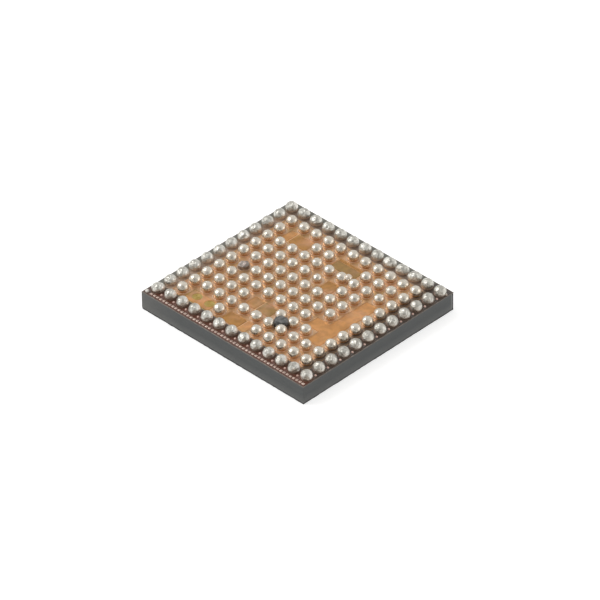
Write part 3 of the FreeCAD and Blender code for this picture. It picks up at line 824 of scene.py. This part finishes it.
# The lump: a crumb of grey moulding resin that has stuck between four balls near the front.
# It broke off a larger piece, so its surface is rough and its corners are blunt.
RESIN_BLACK = (0.024, 0.025, 0.026, 1)
RESIN_GREY = (0.19, 0.187, 0.178, 1)
RESIN_TOP_LIGHT = (0.25, 0.25, 0.245, 1)
# The remesh needs large numbers, so the lump is enlarged for it
ENLARGED = 1000
CRUMB_STEP = 0.000009
CLEAR_OF_TOPS = 0.000003
# How far over the shoulder each widening begins, and by how much it widens
WIDENINGS = ((0.00003, 1.14), (0.00007, 1.2), (0.0001, 1.25))

lump_resin, tree, shader = new_finish("lump_resin")
crumb = grain(tree, 13000, 0.4, 0.6, 5)
height = add_node(tree, "ShaderNodeSeparateXYZ", Vector=on_piece(tree)).outputs["Z"]
# The upper part is painted paler: painted light on the top.
towards_top = share_from(tree, height, 0.00056, 0.00069)
stone = mix(tree, crumb, RESIN_BLACK, RESIN_GREY)
stone = mix(tree, between(tree, towards_top, 0, 0.35), stone, RESIN_TOP_LIGHT)
tree.links.new(stone, shader.inputs["Base Color"])
tree.links.new(between(tree, crumb, 0.55, 0.8), shader.inputs["Roughness"])
relief(tree, shader, crumb, 0.000018, 1.0)

bpy.ops.object.select_all(action="DESELECT")
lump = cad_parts["resin_lump"].copy()
lump.data = lump.data.copy()
lump.parent = None
for key in list(lump.keys()):
    del lump[key]
bpy.context.collection.objects.link(lump)
lump.name = lump.data.name = "resin_crumb"
bpy.context.view_layer.objects.active = lump
lump.select_set(True)
bpy.ops.object.mode_set(mode="EDIT")
bpy.ops.mesh.select_all(action="SELECT")
bpy.ops.mesh.remove_doubles(threshold=NEAREST)
bpy.ops.mesh.normals_make_consistent(inside=False)
bpy.ops.transform.resize(
    value=(ENLARGED,) * 3, center_override=(0, 0, 0), orient_type="GLOBAL"
)
bpy.ops.object.mode_set(mode="OBJECT")
coarse = lump.modifiers.new("coarse", "REMESH")
coarse.mode = "VOXEL"
coarse.voxel_size = CRUMB_STEP * ENLARGED
bpy.ops.object.modifier_apply(modifier=coarse.name)
bpy.ops.object.mode_set(mode="EDIT")
bpy.ops.mesh.select_all(action="SELECT")
bpy.ops.transform.resize(
    value=(1 / ENLARGED,) * 3, center_override=(0, 0, 0), orient_type="GLOBAL"
)
bpy.ops.object.mode_set(mode="OBJECT")
crumbs = bpy.data.textures.new("crumbs", "CLOUDS")
crumbs.noise_scale = 0.00006
broken = lump.modifiers.new("broken", "DISPLACE")
broken.texture = crumbs
broken.strength = 0.000075
broken.mid_level = 0.6
bpy.ops.object.modifier_apply(modifier=broken.name)
crumb_low, crumb_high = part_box("resin_lump")
shoulder = (crumb_low + crumb_high) / 2
shoulder.z = BALL_CENTRE + 0.00003
tallest = max(v.co.z for v in lump.data.vertices)
stretch = (balls_high.z - CLEAR_OF_TOPS - shoulder.z) / (tallest - shoulder.z)
bpy.ops.object.mode_set(mode="EDIT")
steps = [(0, (1, 1, stretch))] + [(above, (wider, wider, 1)) for above, wider in WIDENINGS]
for above, value in steps:
    pick(lump, "VERT", lambda v: v.co.z > shoulder.z + above)
    bpy.ops.transform.resize(value=value, center_override=shoulder, orient_type="GLOBAL")
pick(lump, "VERT", lambda v: v.co.z > shoulder.z)
bpy.ops.mesh.vertices_smooth(factor=0.5, repeat=2)
close_piece(lump, lump_resin, 60)
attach(lump, "root")
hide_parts("resin_lump")


# The test pads: a row of small metal bars along the front edge, and lone dots beside the balls.
# They were probed on the wafer, and have the pinkish colour of bare plated copper.
BAR_STEP = 0.0001
BAR_LENGTH = 0.000062
BAR_LONGER = 0.000006
BAR_FRONT_GAP = 0.000004
BAR_BACK_GAP = 0.000008
BAR_ROUNDING = 0.000012
BAR_BROWN = (0.44, 0.31, 0.26, 1)
BAR_PALE = (0.70, 0.56, 0.485, 1)
DOT_BROWN = (0.64, 0.42, 0.35, 1)
DOT_PALE = (0.86, 0.62, 0.53, 1)

edge_metal, tree, shader = new_finish("edge_metal")
rubbed_and_top_shade = grain(tree, 11000, 0.3, 0.7)
tree.links.new(mix(tree, rubbed_and_top_shade, BAR_BROWN, BAR_PALE), shader.inputs["Base Color"])
shader.inputs["Metallic"].default_value = 0.6
tree.links.new(between(tree, rubbed_and_top_shade, 0.45, 0.3), shader.inputs["Roughness"])

bars_low, bars_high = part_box("edge_pads")
bar_count = 1 + round((bars_high.x - bars_low.x - BAR_LENGTH) / BAR_STEP)
one_bar = open_block(
    "one_bar",
    (bars_low.x - BAR_LONGER, bars_low.y + BAR_FRONT_GAP, bars_low.z),
    (bars_low.x + BAR_LENGTH + BAR_LONGER, bars_high.y - BAR_BACK_GAP, bars_high.z),
)
pick(one_bar, "EDGE", lambda e: edge_middle(e).z > bars_low.z + 0.000006)
bpy.ops.mesh.bevel(offset=BAR_ROUNDING, segments=3)
close_piece(one_bar, edge_metal, 60)
bars = join_copies(
    "test_bars", [copy_to(one_bar, Vector((BAR_STEP * i, 0, 0))) for i in range(bar_count)]
)
bpy.data.objects.remove(one_bar)
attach(bars, "root")
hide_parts("edge_pads")

dot_metal, tree, shader = new_finish("dot_metal")
rubbed_and_top_shade = grain(tree, 11000, 0.3, 0.7)
tree.links.new(mix(tree, rubbed_and_top_shade, DOT_BROWN, DOT_PALE), shader.inputs["Base Color"])
tree.links.new(between(tree, rubbed_and_top_shade, 0.5, 0.35), shader.inputs["Roughness"])
for node in ("edge_dots_front", "edge_dots_right"):
    dress(node, dot_metal)


# The bead in the left corner: a drop of tin solder that has stuck to the corner's own test dot.
# It set in the air, so it is nearly round, with a dull skin.
bump_low, bump_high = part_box("corner_bump")
BEAD_RADIUS = 0.00005
BEAD_OFFSET = (0.000024, 0.000014, 0.00001)
BEAD_GREY = (0.60, 0.57, 0.52, 1)
BEAD_PALE = (0.84, 0.81, 0.76, 1)

bead_solder, tree, shader = new_finish("bead_solder")
scuffs = grain(tree, 30000)
tree.links.new(mix(tree, scuffs, BEAD_GREY, BEAD_PALE), shader.inputs["Base Color"])
shader.inputs["Metallic"].default_value = 0.4
tree.links.new(between(tree, scuffs, 0.3, 0.5), shader.inputs["Roughness"])

bpy.ops.object.select_all(action="DESELECT")
bpy.ops.mesh.primitive_uv_sphere_add(
    segments=24, ring_count=12, radius=BEAD_RADIUS, scale=(1, 1, 0.9),
    location=Vector((bump_high.x, bump_high.y, bump_low.z)) + Vector(BEAD_OFFSET),
)
corner = open_piece("corner_bead")
pick(corner, "FACE", lambda f: True)
cut_flat(bump_low.z)
close_piece(corner, bead_solder, 50)
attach(corner, "root")
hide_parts("corner_bump")


# The table: a plain white sheet of paper under the chip.
# It looks white to the eye and mirrored in the metal, and keeps the chip's shadow.
TABLE_WHITE = (0.72, 0.72, 0.72, 1)
bpy.ops.object.select_all(action="DESELECT")
bpy.ops.mesh.primitive_plane_add(size=3, location=(0, 0, -0.000001))
table = bpy.context.object
table.name = "table"
paper, tree, shader = new_finish("paper")
rays = add_node(tree, "ShaderNodeLightPath").outputs
seen = arithmetic(tree, "MAXIMUM", rays["Is Camera Ray"], rays["Is Glossy Ray"])
seen = arithmetic(tree, "MAXIMUM", seen, rays["Is Transmission Ray"])
tree.links.new(between(tree, seen, 0.0, 0.56), shader.inputs["Emission Strength"])
shader.inputs["Emission Color"].default_value = (1, 1, 1, 1)
shader.inputs["Base Color"].default_value = TABLE_WHITE
shader.inputs["Roughness"].default_value = 0.9
shader.inputs["Specular IOR Level"].default_value = 0.0
table.data.materials.append(paper)


# The light: a pale room, darker on the side from which the chip is photographed,
# and two soft boxes, one high on the left and a weaker one low on the right.
CAMERA_SIDE = (0.5611, -0.5719, 0.5985)
ROOM_PALE = (0.78, 0.775, 0.765, 1)
ROOM_SHADED = (0.54, 0.535, 0.525, 1)
ROOM_DARK = (0.33, 0.325, 0.315, 1)
world = bpy.data.worlds.new("room")
bpy.context.scene.world = world
world.use_nodes = True
tree = world.node_tree
back_light = tree.nodes["Background"]
outwards = add_node(tree, "ShaderNodeTexCoord").outputs["Generated"]
facing = add_node(
    tree, "ShaderNodeVectorMath", {"operation": "DOT_PRODUCT"}, _0=outwards, _1=CAMERA_SIDE
).outputs["Value"]
room = mix(tree, share_from(tree, facing, 0.55, 0.9), ROOM_PALE, ROOM_SHADED)
room = mix(tree, share_from(tree, facing, 0.9, 0.97), room, ROOM_DARK)
tree.links.new(room, back_light.inputs["Color"])


def soft_box(name, direction, radiance, wide, away=0.5):
    """A square lamp of a given brightness, turned to the chip."""
    light = bpy.data.lights.new(name, "AREA")
    light.shape = "SQUARE"
    light.size = wide
    light.energy = radiance * math.pi * wide * wide
    lamp = bpy.data.objects.new(name, light)
    bpy.context.scene.collection.objects.link(lamp)
    direction = Vector(direction).normalized()
    lamp.location = direction * away
    lamp.rotation_mode = "QUATERNION"
    lamp.rotation_quaternion = direction.to_track_quat("Z", "Y")


soft_box("left_box", (-0.6, -0.4, 0.69), 4.9, 0.23)
soft_box("right_box", (0.77, 0.62, 0.14), 0.98, 0.38)


# The camera: at the height and side that the photograph was taken from, a hand's breadth away,
# with a long lens, and turned a little about its own axis.
AZIMUTH = math.radians(44.84)
ELEVATION = math.radians(36.84)
ROLL = math.radians(-0.635)
DISTANCE = 0.1258
AIM_HEIGHT = 0.000542
AIM_RIGHT = 0.0000233
AIM_DOWN = 0.0002193
back = Vector(
    (
        math.sin(AZIMUTH) * math.cos(ELEVATION),
        -math.cos(AZIMUTH) * math.cos(ELEVATION),
        math.sin(ELEVATION),
    )
)
level = Vector((math.cos(AZIMUTH), math.sin(AZIMUTH), 0))
rise = back.cross(level)
right = level * math.cos(ROLL) + rise * math.sin(ROLL)
up = back.cross(right)
aim = GRID_MIDDLE + Vector((0, 0, AIM_HEIGHT)) + right * AIM_RIGHT - up * AIM_DOWN
lens = bpy.data.cameras.new("camera")
lens.lens = 326.7
lens.sensor_width = 36
lens.clip_start = 0.01
lens.clip_end = 10
camera = bpy.data.objects.new("camera", lens)
bpy.context.scene.collection.objects.link(camera)
turn = Matrix((right, up, back)).transposed().to_4x4()
camera.matrix_world = Matrix.Translation(aim + back * DISTANCE) @ turn
bpy.context.scene.camera = camera
bpy.context.scene.view_settings.view_transform = "Standard"
